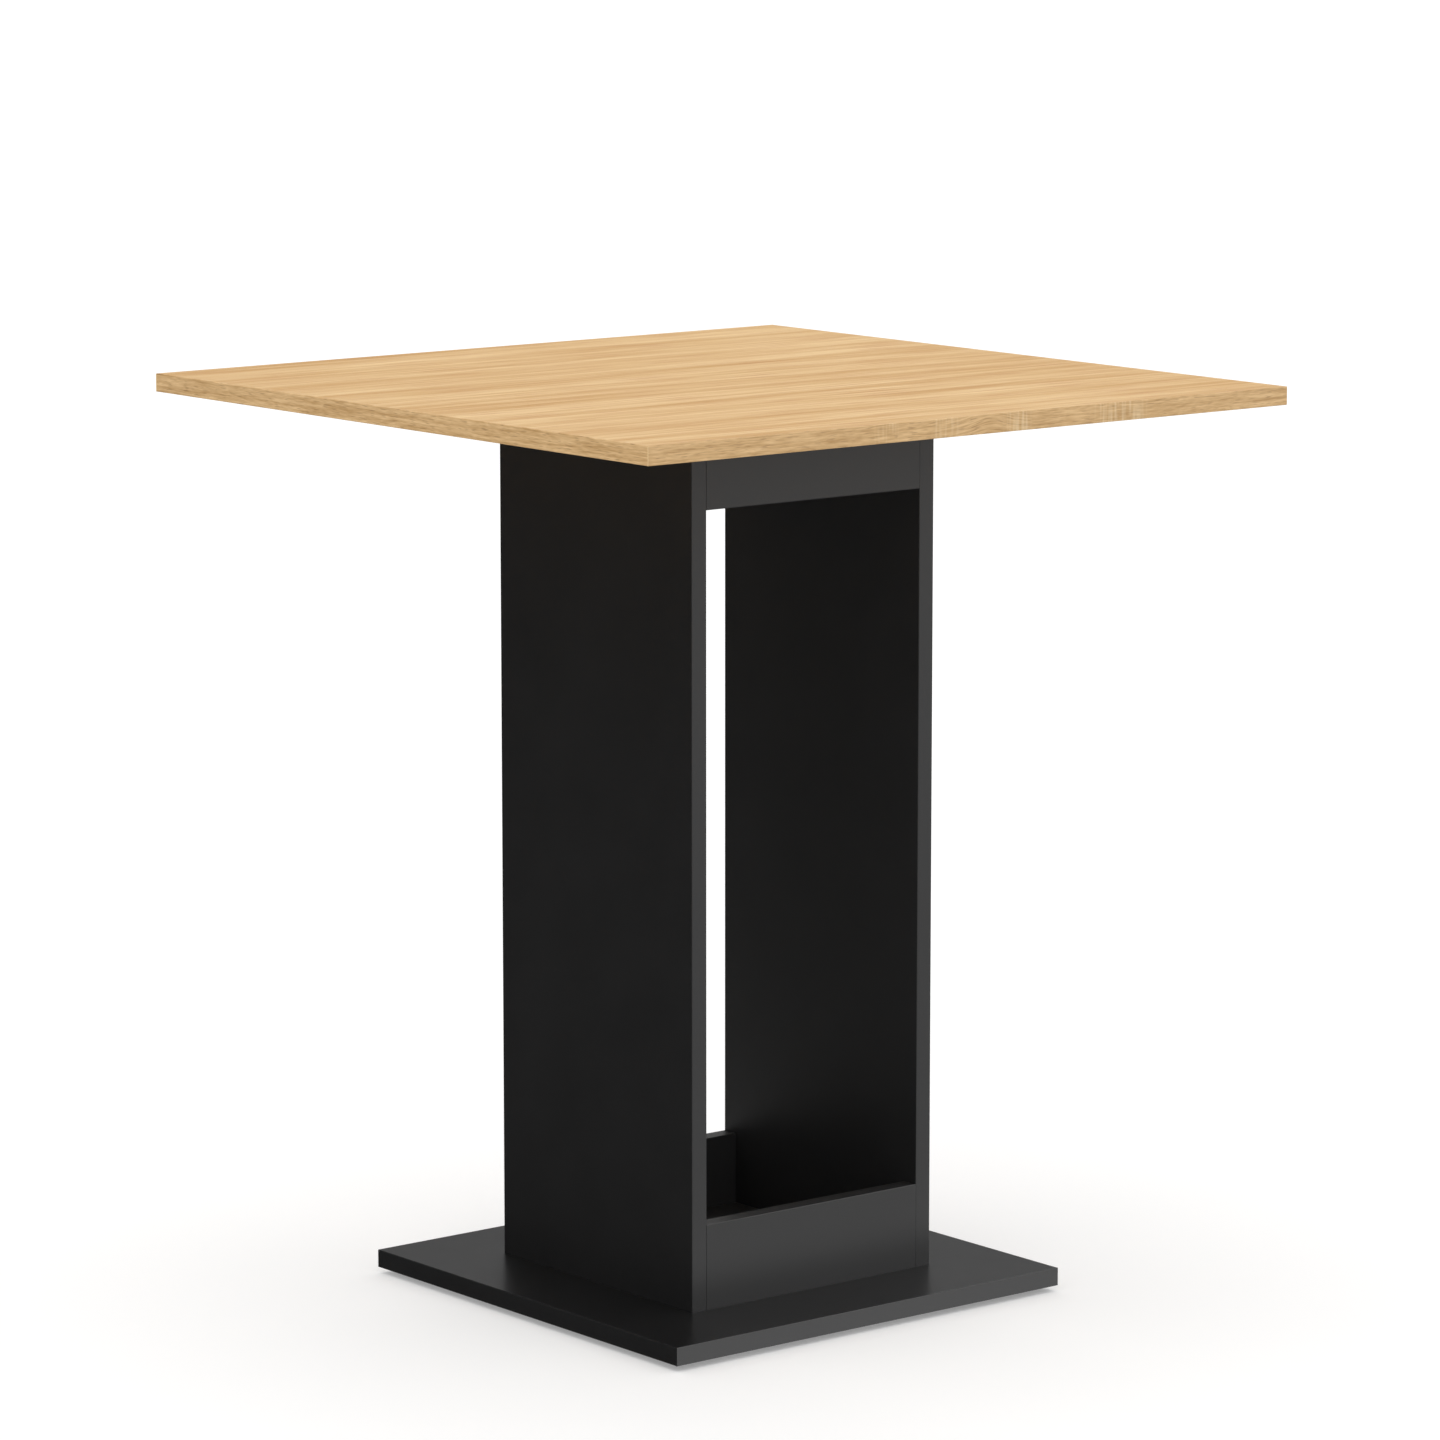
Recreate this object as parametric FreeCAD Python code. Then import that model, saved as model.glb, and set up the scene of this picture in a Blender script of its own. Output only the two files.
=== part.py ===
"""Square dining table on an open box column, made of coated boards.

The column is glued up with hidden tongues. Cam fittings hold the top on it, and screws hold the base.

All sizes are in millimetres. The origin lies on the floor under the middle of the table, +Z points up, and
the open front of the column faces -Y. Every board is drilled and slotted with one shared set of tools, so
the two halves of a joint always line up.
"""

import FreeCAD
import Part
import math
import os
from collections import namedtuple

from FreeCAD import Placement, Rotation, Vector

# Table top
TOP_SIZE = 650.0  # side of the square, over its edge bands
TOP_THICKNESS = 15.0
TABLE_HEIGHT = 750.0  # floor to upper face
TOP_BAND = 1.0  # thickness of the edge band
TOP_ROUNDING = 0.8  # along the band's outer edges

# Column of two side panels, four rails and a floor panel
COLUMN_WIDTH = 250.0  # along X, over the side panels
COLUMN_DEPTH = 250.0  # along Y, over the panels' edge bands
PANEL_THICKNESS = 15.0
RAIL_THICKNESS = 15.0
RAIL_HEIGHT = 70.0
FLOOR_THICKNESS = 10.0
FLOOR_CLEARANCE = 0.3  # between the floor panel and the boards round it

# Base plate
BASE_SIZE = 400.0  # side of the square, over its edge bands
BASE_THICKNESS = 15.0

# Edge bands of the dark boards
DARK_BAND = 0.8
DARK_BEVEL = 0.4  # cut along the bands' outer edges

# Nailed glides under the base plate
GLIDE_HEIGHT = 5.0
GLIDE_DIAMETER = 22.0
GLIDE_CHAMFER = 1.5
GLIDE_INSET = 35.0  # from the base plate's edges to the middle of a glide
NAIL_DIAMETER = 2.0

# Where the fittings sit
PANEL_FITTING_INSET = 45.0  # from a side panel's front or back edge to its bolts and screws
BLIND_REMAINDER = 4.0  # board left behind a blind hole or slot in its face

# Cam fitting: a bolt screwed into the table top, gripped by a cam let into a side panel
CAM_DISTANCE = 34.0  # from the bolt's seat to the middle of the cam
CAM_WALL = 1.5  # thinnest part of the jaw
CAM_FLOOR = 0.9  # below the pocket for the bolt's head
CAM_THROW = 0.9  # offset of that pocket, which draws the joint tight
CAM_HEAD_ROOM = 1.8  # round the bolt's head in the pocket
CAM_CLEARANCE = 0.05  # round the cam in its bore
CAM_DRIVE_LENGTH = 9.0  # cross slot for a screwdriver
CAM_DRIVE_WIDTH = 1.6
CAM_DRIVE_DEPTH = 2.4
BOLT_DIAMETER = 5.0
BOLT_NECK_DIAMETER = 4.0
BOLT_HEAD_DIAMETER = 6.6
BOLT_HEAD_LENGTH = 2.4  # of the cone that the cam bears on
BOLT_HOLE_CLEARANCE = 0.7  # round the head on its way to the cam
SLOT_CLEARANCE = 0.3  # between the bolt and the cam's slots
HEAD_SEAT = 0.2  # between the bolt's head and the cam's jaw

# Plywood tongues, each in a slot in one board's face and a slot in another one's end or edge
TONGUE_THICKNESS = 4.0
TONGUE_IN_END = 12.0
RAIL_TONGUE_INSET = 15.0  # from a rail's upper and lower edge
TOP_TONGUE_LENGTH = 50.0
TONGUE_CLEARANCE = 0.05  # on each side
TONGUE_END_GAP = 0.5  # room for glue past the tongue's edges

# Connecting screws from the base plate into the side panels
SCREW_SHANK_DIAMETER = 7.0
SCREW_HEAD_FLARE = 1.5  # of the countersunk head, past the shank
SCREW_THREAD_DEPTH = 1.0  # from the shank down to the core
SCREW_GRIP = 35.0  # length in the panel
SCREW_CLEARANCE = 0.15  # round the shank in the base plate
SCREW_END_GAP = 0.5  # free space past the screw's end

CUT_LIMIT = 0.9  # largest rounding or bevel, as a share of the band that carries it

# Levels and half sizes that follow from the sizes above
BASE_LOW = GLIDE_HEIGHT
COLUMN_LOW = BASE_LOW + BASE_THICKNESS
COLUMN_HIGH = TABLE_HEIGHT - TOP_THICKNESS
COLUMN_HEIGHT = COLUMN_HIGH - COLUMN_LOW
HALF_INSIDE = COLUMN_WIDTH / 2 - PANEL_THICKNESS
HALF_DEPTH = COLUMN_DEPTH / 2
PANEL_MIDDLE = HALF_INSIDE + PANEL_THICKNESS / 2
PANEL_FITTING_Y = HALF_DEPTH - PANEL_FITTING_INSET
NAIL_LENGTH = BASE_THICKNESS - BLIND_REMAINDER
BOLT_THREAD_LENGTH = TOP_THICKNESS - BLIND_REMAINDER
CAM_POCKET_RADIUS = BOLT_HEAD_DIAMETER / 2 + CAM_HEAD_ROOM
CAM_RADIUS = CAM_POCKET_RADIUS + CAM_THROW + CAM_WALL
CAM_JAW = CAM_POCKET_RADIUS - CAM_THROW  # from the middle of the cam to its jaw where it grips
CAM_SLOT_HALF = BOLT_HEAD_DIAMETER / 2 + SLOT_CLEARANCE  # half the pocket's height
CAM_DEPTH = PANEL_THICKNESS / 2 + CAM_SLOT_HALF + CAM_FLOOR

X = Vector(1, 0, 0)
Y = Vector(0, 1, 0)
Z = Vector(0, 0, 1)
SIDES = (-1, 1)

# A rail's side is -1 at the front and 1 at the back; free_way points from its middle to its free edge
Rail = namedtuple("Rail", "name side low free_way")
# The bolt hangs from its seat below the table top, and inward points out of the panel's inner face
CamJoint = namedtuple("CamJoint", "seat inward")
# The seat is where the boards meet, and direction points into the board that is slotted in its end
TongueJoint = namedtuple("TongueJoint", "seat direction long_way length face_board")

RAILS = [
    Rail("front_top_rail", -1, COLUMN_HIGH - RAIL_HEIGHT, -1),
    Rail("back_top_rail", 1, COLUMN_HIGH - RAIL_HEIGHT, -1),
    Rail("front_bottom_rail", -1, COLUMN_LOW, 1),
    Rail("back_bottom_rail", 1, COLUMN_LOW, 1),
]


def block(low, high):
    """A box between its lowest and highest corner."""
    size = high - low
    return Part.makeBox(size.x, size.y, size.z, low)


def placed(shape, origin, x_axis, z_axis):
    """A copy of a shape, with its origin moved and its X and Z axes turned to the given directions."""
    copy = shape.copy()
    copy.Placement = Placement(origin, Rotation(x_axis, z_axis.cross(x_axis), z_axis, "ZXY"))
    return copy


def turned(outline):
    """A solid turned about the X axis from a closed outline of (x, radius) points."""
    points = [Vector(x, radius, 0) for x, radius in outline]
    return Part.Face(Part.makePolygon(points + points[:1])).revolve(Vector(), X, 360)


def upright(shape, seat, way):
    """A copy of a shape made along X, set at a seat and pointing up for a way of Z, or down for -Z."""
    return placed(shape, seat, way, Y)


# Places of the joints


def rail_middle(rail):
    """Height of a rail's middle."""
    return rail.low + RAIL_HEIGHT / 2


def rail_axis_y(rail):
    """Y of the middle of a rail's thickness."""
    return rail.side * (HALF_DEPTH - RAIL_THICKNESS / 2)


def rail_tongue_joints():
    """One upright tongue at each end of each rail."""
    joints = []
    for rail in RAILS:
        for end in SIDES:
            seat = Vector(end * HALF_INSIDE, rail_axis_y(rail), rail_middle(rail))
            length = RAIL_HEIGHT - 2 * RAIL_TONGUE_INSET
            joints.append(TongueJoint(seat, X * -end, Z, length, PANEL_THICKNESS))
    return joints


def top_tongue_joints():
    """One tongue between the middle of each side panel's upper edge and the table top."""
    seats = [Vector(end * PANEL_MIDDLE, 0, COLUMN_HIGH) for end in SIDES]
    return [TongueJoint(seat, -Z, Y, TOP_TONGUE_LENGTH, TOP_THICKNESS) for seat in seats]


def cam_joints():
    """Two bolts hanging from the table top into cams in each side panel."""
    joints = []
    for end in SIDES:
        for way in SIDES:
            seat = Vector(end * PANEL_MIDDLE, way * PANEL_FITTING_Y, COLUMN_HIGH)
            joints.append(CamJoint(seat, X * -end))
    return joints


def screw_seats():
    """Middles of the screw heads, on the underside of the base plate."""
    return [Vector(end * PANEL_MIDDLE, way * PANEL_FITTING_Y, BASE_LOW) for end in SIDES for way in SIDES]


def glide_seats():
    """Middles of the glides' upper faces, on the underside of the base plate."""
    reach = BASE_SIZE / 2 - GLIDE_INSET
    return [Vector(end * reach, way * reach, BASE_LOW) for end in SIDES for way in SIDES]


def cam_seat(joint):
    """Middle of a cam's outer face, level with the panel's inner face."""
    return joint.seat - Z * CAM_DISTANCE + joint.inward * (PANEL_THICKNESS / 2)


# Fittings


def cam():
    """A cam with its outer face at z = 0 and its bolt arriving along +X.

    The pocket for the bolt's head is off centre, so turning the cam draws the head in. A slot lets the neck
    pass from the square entry at -X to the gripped position at +X.
    """
    axis = -PANEL_THICKNESS / 2
    body = Part.makeCylinder(CAM_RADIUS - CAM_CLEARANCE, CAM_DEPTH, Vector(0, 0, -CAM_DEPTH))
    pocket_low = Vector(-CAM_THROW, 0, axis - CAM_SLOT_HALF)
    pocket = Part.makeCylinder(CAM_POCKET_RADIUS, 2 * CAM_SLOT_HALF, pocket_low)
    entry = block(
        Vector(-2 * CAM_RADIUS, -CAM_SLOT_HALF, axis - CAM_SLOT_HALF),
        Vector(0, CAM_SLOT_HALF, axis + CAM_SLOT_HALF),
    )
    return body.cut([pocket, entry, cam_neck_slot(axis)] + cam_drive())


def cam_neck_slot(axis):
    """The slot that the bolt's neck sweeps as the cam turns half round, as a solid to cut away."""
    half = BOLT_NECK_DIAMETER / 2 + SLOT_CLEARANCE
    grip_angle = math.degrees(math.asin(half / CAM_JAW))
    slot = Part.makeCylinder(2 * CAM_RADIUS, 2 * half, Vector(0, 0, axis - half), Z, 180 + grip_angle)
    slot.rotate(Vector(), Z, -grip_angle)
    return slot


def cam_drive():
    """The cross slot in a cam's outer face, as two solids to cut away."""
    corner = Vector(CAM_DRIVE_LENGTH / 2, CAM_DRIVE_WIDTH / 2, 0)
    slot = block(-corner - Z * CAM_DRIVE_DEPTH, corner)
    return [slot, placed(slot, Vector(), Y, Z)]


def cam_bolt():
    """A bolt along +X from its seat: a conical head for the cam ahead, its thread in the table top behind."""
    shank = BOLT_DIAMETER / 2
    neck = BOLT_NECK_DIAMETER / 2
    neck_start = CAM_DISTANCE - CAM_RADIUS - SLOT_CLEARANCE
    shoulder = CAM_DISTANCE - CAM_JAW + HEAD_SEAT
    return turned(
        [
            (-BOLT_THREAD_LENGTH, 0),
            (-BOLT_THREAD_LENGTH, shank),
            (neck_start, shank),
            (neck_start, neck),
            (shoulder, neck),
            (shoulder + BOLT_HEAD_LENGTH, BOLT_HEAD_DIAMETER / 2),
            (shoulder + BOLT_HEAD_LENGTH, 0),
        ]
    )


def tongue(joint, clearance, end_gap):
    """A joint's tongue, or its slots: X into the end of one board, Z along the tongue, Y across it."""
    back = joint.face_board - BLIND_REMAINDER - TONGUE_END_GAP + end_gap
    ahead = TONGUE_IN_END + end_gap
    half_thickness = TONGUE_THICKNESS / 2 + clearance
    half_length = joint.length / 2 + end_gap
    strip = block(Vector(-back, -half_thickness, -half_length), Vector(ahead, half_thickness, half_length))
    return placed(strip, joint.seat, joint.direction, joint.long_way)


def connecting_screw(clearance, end_gap):
    """A countersunk screw along X from its head, or the hole for one, with room round its shank."""
    shank = SCREW_SHANK_DIAMETER / 2
    core = shank - SCREW_THREAD_DEPTH
    end = BASE_THICKNESS + SCREW_GRIP + end_gap
    return turned(
        [
            (0, 0),
            (0, shank + SCREW_HEAD_FLARE),
            (SCREW_HEAD_FLARE - clearance, shank + clearance),
            (BASE_THICKNESS, shank + clearance),
            (BASE_THICKNESS, core),
            (end, core),
            (end, 0),
        ]
    )


def glide():
    """A glide along X from its seat, with a chamfered foot and its nail moulded in on top."""
    radius = GLIDE_DIAMETER / 2
    return turned(
        [
            (0, 0),
            (0, radius),
            (GLIDE_HEIGHT - GLIDE_CHAMFER, radius),
            (GLIDE_HEIGHT, radius - GLIDE_CHAMFER),
            (GLIDE_HEIGHT, 0),
        ]
    )


def glide_nail():
    """The part of a glide's nail that is driven into the base plate, along X."""
    return Part.makeCylinder(NAIL_DIAMETER / 2, NAIL_LENGTH, Vector(), X)


# Holes and slots


def cam_joint_holes(joint):
    """The bolt's holes in the table top and the panel, and the cam's bore, as solids to cut away."""
    hole = BOLT_HEAD_DIAMETER / 2 + BOLT_HOLE_CLEARANCE
    return [
        Part.makeCylinder(BOLT_DIAMETER / 2, BOLT_THREAD_LENGTH, joint.seat),
        Part.makeCylinder(hole, CAM_DISTANCE, joint.seat, -Z),
        Part.makeCylinder(CAM_RADIUS, CAM_DEPTH, cam_seat(joint), -joint.inward),
    ]


def cutting_tools():
    """Every hole and slot of the table, as solids to cut from the boards."""
    tools = []
    for joint in cam_joints():
        tools += cam_joint_holes(joint)
    for joint in rail_tongue_joints() + top_tongue_joints():
        tools.append(tongue(joint, TONGUE_CLEARANCE, TONGUE_END_GAP))
    screw_hole = connecting_screw(SCREW_CLEARANCE, SCREW_END_GAP)
    for seat in screw_seats():
        tools.append(upright(screw_hole, seat, Z))
    for seat in glide_seats():
        tools.append(upright(glide_nail(), seat, Z))
    return tools


# Boards and their edge bands


def square_board(size, band, thickness, low):
    """A square board, less the bands on its four edges."""
    half = size / 2 - band
    return block(Vector(-half, -half, low), Vector(half, half, low + thickness))


def side_panel(end):
    """The left or right panel of the column, less the bands on its front and back edges."""
    low_x, high_x = sorted((end * HALF_INSIDE, end * COLUMN_WIDTH / 2))
    reach = HALF_DEPTH - DARK_BAND
    return block(Vector(low_x, -reach, COLUMN_LOW), Vector(high_x, reach, COLUMN_HIGH))


def rail_board(rail):
    """A rail between the side panels, less the band on its free edge."""
    low_y, high_y = sorted((rail.side * HALF_DEPTH, rail.side * (HALF_DEPTH - RAIL_THICKNESS)))
    low = rail.low + (DARK_BAND if rail.free_way < 0 else 0)
    high = low + RAIL_HEIGHT - DARK_BAND
    return block(Vector(-HALF_INSIDE, low_y, low), Vector(HALF_INSIDE, high_y, high))


def floor_panel():
    """The panel glued to the base plate inside the column, which keeps the column in its place."""
    x = HALF_INSIDE - FLOOR_CLEARANCE
    y = HALF_DEPTH - RAIL_THICKNESS - FLOOR_CLEARANCE
    return block(Vector(-x, -y, COLUMN_LOW), Vector(x, y, COLUMN_LOW + FLOOR_THICKNESS))


def plain_band(length, width, thickness):
    """A square-edged strip along X with its back on y = 0 and its face towards -Y."""
    return block(Vector(-length / 2, -thickness, -width / 2), Vector(length / 2, 0, width / 2))


def outer_edges(strip):
    """The two long edges of a strip's face."""
    box = strip.BoundBox
    return [e for e in strip.Edges if e.BoundBox.YMax < box.Center.y and e.BoundBox.XLength > box.XLength / 2]


def oak_band(length):
    """A band of the table top, rounded along its outer edges."""
    strip = plain_band(length, TOP_THICKNESS, TOP_BAND)
    return strip.makeFillet(min(TOP_ROUNDING, CUT_LIMIT * TOP_BAND), outer_edges(strip))


def dark_band(length, width):
    """A band of a dark board, bevelled along its outer edges."""
    strip = plain_band(length, width, DARK_BAND)
    return strip.makeChamfer(min(DARK_BEVEL, CUT_LIMIT * DARK_BAND), outer_edges(strip))


def square_bands(prefix, long_band, short_band, back, middle):
    """The four bands of a square board: front and back ones run over the ends of the other two."""
    return {
        f"{prefix}_band_front": placed(long_band, Vector(0, -back, middle), X, Z),
        f"{prefix}_band_back": placed(long_band, Vector(0, back, middle), -X, Z),
        f"{prefix}_band_left": placed(short_band, Vector(-back, 0, middle), -Y, Z),
        f"{prefix}_band_right": placed(short_band, Vector(back, 0, middle), Y, Z),
    }


def top_bands():
    """The four bands of the table top."""
    inside = TOP_SIZE - 2 * TOP_BAND
    middle = TABLE_HEIGHT - TOP_THICKNESS / 2
    return square_bands("top", oak_band(TOP_SIZE), oak_band(inside), inside / 2, middle)


def base_bands():
    """The four bands of the base plate."""
    inside = BASE_SIZE - 2 * DARK_BAND
    middle = BASE_LOW + BASE_THICKNESS / 2
    long_band = dark_band(BASE_SIZE, BASE_THICKNESS)
    return square_bands("base", long_band, dark_band(inside, BASE_THICKNESS), inside / 2, middle)


def panel_bands(name, end):
    """The front and back bands of a side panel."""
    strip = dark_band(COLUMN_HEIGHT, PANEL_THICKNESS)
    middle = (COLUMN_LOW + COLUMN_HIGH) / 2
    back = HALF_DEPTH - DARK_BAND
    return {
        f"{name}_panel_front_band": placed(strip, Vector(end * PANEL_MIDDLE, -back, middle), Z, -X),
        f"{name}_panel_back_band": placed(strip, Vector(end * PANEL_MIDDLE, back, middle), Z, X),
    }


def rail_band(rail):
    """The band on a rail's free edge, below a top rail and above a bottom one."""
    strip = dark_band(2 * HALF_INSIDE, RAIL_THICKNESS)
    back = rail_middle(rail) + rail.free_way * (RAIL_HEIGHT / 2 - DARK_BAND)
    return placed(strip, Vector(0, rail_axis_y(rail), back), X, Y * rail.free_way)


# The whole table


def boards():
    """Every board, drilled and slotted, by name."""
    plain = {
        "table_top": square_board(TOP_SIZE, TOP_BAND, TOP_THICKNESS, COLUMN_HIGH),
        "left_side_panel": side_panel(-1),
        "right_side_panel": side_panel(1),
        "floor_panel": floor_panel(),
        "base_plate": square_board(BASE_SIZE, DARK_BAND, BASE_THICKNESS, BASE_LOW),
    }
    plain.update({rail.name: rail_board(rail) for rail in RAILS})
    tools = cutting_tools()
    return {name: board.cut(tools) for name, board in plain.items()}


def bands():
    """Every edge band, by name."""
    strips = {**top_bands(), **base_bands(), **panel_bands("left", -1), **panel_bands("right", 1)}
    strips.update({f"{rail.name}_band": rail_band(rail) for rail in RAILS})
    return strips


def groups():
    """Every set of like small pieces as one group of separate solids, by name."""
    joints = cam_joints()
    screw = connecting_screw(0, 0)
    solids = {
        "top_cams": [placed(cam(), cam_seat(joint), Z, joint.inward) for joint in joints],
        "top_cam_bolts": [upright(cam_bolt(), joint.seat, -Z) for joint in joints],
        "top_tongues": [tongue(joint, 0, 0) for joint in top_tongue_joints()],
        "rail_tongues": [tongue(joint, 0, 0) for joint in rail_tongue_joints()],
        "base_screws": [upright(screw, seat, Z) for seat in screw_seats()],
        "base_glides": [upright(glide(), seat, -Z) for seat in glide_seats()],
        "glide_nails": [upright(glide_nail(), seat, Z) for seat in glide_seats()],
    }
    return {name: Part.makeCompound(members) for name, members in solids.items()}


def main():
    """Builds every piece and writes each one to its own file."""
    os.makedirs("parts", exist_ok=True)
    for name, shape in {**boards(), **bands(), **groups()}.items():
        shape.exportStep(os.path.join("parts", f"{name}.step"))
        print(f"{name}: {len(shape.Solids)} solids, {shape.Volume / 1000:.2f} cm3, valid {shape.isValid()}")


main()
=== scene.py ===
"""Looks of a square dining table on an open box column.

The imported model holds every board, band and fitting. This script gives each of them its finish, makes
the small turned hardware with its threads, sockets and grooves, and sets up a pale studio with a camera
in front of it. Lengths are in metres unless a name ends in _mm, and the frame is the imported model's own.
"""

import logging
import math
from dataclasses import dataclass, replace
from enum import Enum
from typing import Any

import bpy
import numpy as np
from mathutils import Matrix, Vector
from numpy.typing import NDArray


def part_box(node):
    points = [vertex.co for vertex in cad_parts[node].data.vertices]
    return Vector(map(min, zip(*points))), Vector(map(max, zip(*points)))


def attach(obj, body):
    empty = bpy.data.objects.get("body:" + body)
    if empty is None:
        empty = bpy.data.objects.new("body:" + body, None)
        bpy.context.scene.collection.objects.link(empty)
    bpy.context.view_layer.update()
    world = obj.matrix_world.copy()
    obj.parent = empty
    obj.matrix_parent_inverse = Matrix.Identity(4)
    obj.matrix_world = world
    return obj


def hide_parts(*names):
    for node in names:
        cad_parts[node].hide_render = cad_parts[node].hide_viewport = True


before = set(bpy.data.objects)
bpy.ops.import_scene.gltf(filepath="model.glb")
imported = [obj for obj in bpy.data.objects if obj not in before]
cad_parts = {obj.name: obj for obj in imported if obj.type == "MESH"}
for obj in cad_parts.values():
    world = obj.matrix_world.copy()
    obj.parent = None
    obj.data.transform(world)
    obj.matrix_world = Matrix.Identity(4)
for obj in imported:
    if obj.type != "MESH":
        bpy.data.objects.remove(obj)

MM = 0.001
BODY = "root"
WHITE = "#FFFFFF"
BLACK = "#000000"
SHARE, LOW, HIGH, MIXED = 0, 6, 7, 2  # sockets of a Mix node that mixes colours
log = logging.getLogger("table")

Points = NDArray[np.float64]
Corners = NDArray[np.int64]
Colour = tuple[float, float, float, float]
Values = dict[str | int, Any]
Tree = bpy.types.NodeTree
Socket = bpy.types.NodeSocket
Shader = bpy.types.NodeInputs


# Colours and nodes


def linear(colour: str) -> Colour:
    """Turns an sRGB hex colour into linear RGBA.

    A share s of full brightness becomes s / 12.92 up to 0.04045, and ((s + 0.055) / 1.055) ^ 2.4 above it.

    Args:
        colour: the colour as #RRGGBB.

    Returns:
        Linear red, green and blue, and an alpha of 1.
    """
    share = np.frombuffer(bytes.fromhex(colour[1:]), np.uint8) / 255
    light = np.where(share <= 0.04045, share / 12.92, ((share + 0.055) / 1.055) ** 2.4)
    return (*light.tolist(), 1.0)


def per_metre(*sizes_mm: float) -> tuple[float, ...]:
    """How many features of each size in millimetres fit into a metre."""
    return tuple(1 / (size * MM) for size in sizes_mm)


def add(tree: Tree, kind: str, inputs: Values | None = None, **settings: Any) -> bpy.types.Node:
    """Adds a node with its settings and links.

    Args:
        tree: the node tree that gets the node.
        kind: the node's type without its ShaderNode prefix.
        inputs: for each input, by name or number, a constant or the output socket that feeds it.
        settings: the node's own properties.

    Returns:
        The new node.
    """
    node = tree.nodes.new("ShaderNode" + kind)
    for name, value in settings.items():
        setattr(node, name, value)
    for key, value in (inputs or {}).items():
        if isinstance(value, Socket):
            tree.links.new(value, node.inputs[key])
        else:
            node.inputs[key].default_value = value
    return node


# Meshes


@dataclass(frozen=True)
class Shell:
    """A surface: points, and the quads and triangles between them."""

    points: Points
    quads: Corners
    triangles: Corners

    @classmethod
    def turned(cls, along: Points, radius: Points) -> "Shell":
        """A closed shell of rings about the X axis.

        Point j of ring i lies at x = along[i], at the angle 2 pi j / sides and the distance radius[i, j]
        from the axis. One point on the axis closes each end.

        Args:
            along: the place of each ring.
            radius: the radius of each ring at each of its sides.

        Returns:
            The shell.
        """
        rings, sides = radius.shape
        angle = np.linspace(0, 2 * math.pi, sides, endpoint=False)
        parts = np.broadcast_arrays(along[:, None], radius * np.cos(angle), radius * np.sin(angle))
        ends = np.array([[along[0], 0.0, 0.0], [along[-1], 0.0, 0.0]])
        number = np.arange(rings * sides).reshape(rings, sides)
        after = np.roll(number, -1, axis=1)
        quads = np.stack([number[:-1], after[:-1], after[1:], number[1:]], axis=-1).reshape(-1, 4)
        first = np.full(sides, rings * sides)  # the point that closes the start, and the end's is the next
        start_fan = np.stack([first, after[0], number[0]], axis=-1)
        end_fan = np.stack([first + 1, number[-1], after[-1]], axis=-1)
        points = np.concatenate([np.stack(parts, axis=-1).reshape(-1, 3), ends])
        return cls(points, quads, np.concatenate([start_fan, end_fan]))

    @classmethod
    def sheet(cls, grid: Points) -> "Shell":
        """An open sheet over a grid of points.

        Args:
            grid: the points by row and column.

        Returns:
            The shell.
        """
        number = np.arange(grid.shape[0] * grid.shape[1]).reshape(grid.shape[:2])
        quads = np.stack([number[:-1, :-1], number[1:, :-1], number[1:, 1:], number[:-1, 1:]], axis=-1)
        return cls(grid.reshape(-1, 3), quads.reshape(-1, 4), np.empty((0, 3), dtype=np.int64))

    def upright(self, way: int) -> "Shell":
        """The shell turned so that its X axis points up for a way of 1, or down for -1."""
        x, y, z = self.points.T
        return replace(self, points=np.stack([y, way * z, way * x], axis=-1))

    def at(self, seats: Points) -> "Shell":
        """Copies of the shell, one added to every seat, as one shell.

        Args:
            seats: where the copies go.

        Returns:
            All copies.
        """
        points = (seats[:, None, :] + self.points).reshape(-1, 3)
        step = (np.arange(len(seats)) * len(self.points))[:, None, None]
        return Shell(points, (self.quads + step).reshape(-1, 4), (self.triangles + step).reshape(-1, 3))

    def to_object(self, name: str, sharp_deg: float = 35.0) -> bpy.types.Object:
        """Makes a smooth-shaded mesh object at the origin.

        Args:
            name: the object's name.
            sharp_deg: the angle between faces past which an edge is sharp.

        Returns:
            The object, linked to the scene.
        """
        mesh = bpy.data.meshes.new(name)
        mesh.from_pydata(self.points.tolist(), [], self.quads.tolist() + self.triangles.tolist())
        mesh.shade_smooth()
        mesh.set_sharp_from_angle(angle=math.radians(sharp_deg))
        made = bpy.data.objects.new(name, mesh)
        bpy.context.scene.collection.objects.link(made)
        return made


# Finishes


class Axis(Enum):
    """A level axis of the frame, which a grain or a stack of veneers follows."""

    X = 0
    Y = 1


@dataclass(frozen=True)
class Finish:
    """A finish: a material with one principled shader.

    The shader's index of refraction stays at 1.5, which is about that of melamine resin and of plastic.
    """

    name: str

    def material(self) -> bpy.types.Material:
        """Makes the material the first time that it is asked for.

        Returns:
            The material.
        """
        made = bpy.data.materials.get(self.name)
        if made is None:
            made = bpy.data.materials.new(self.name)
            made.use_nodes = True
            self.paint(made.node_tree, made.node_tree.nodes["Principled BSDF"].inputs)
        return made

    def paint(self, tree: Tree, shader: Shader) -> None:
        """Adds the nodes that feed the shader, which each kind of finish does in its own way."""
        raise NotImplementedError


@dataclass(frozen=True)
class Streaks:
    """A layer of long streaks in an oak print."""

    size_mm: tuple[float, float]  # along the grain and across it
    weight: float


@dataclass(frozen=True)
class Dashes:
    """Short marks in an oak print, drawn where a noise is high."""

    size_mm: tuple[float, float]  # along the grain and across it
    span: tuple[float, float]  # of the noise, from no mark to a full one
    strength: float


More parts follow.
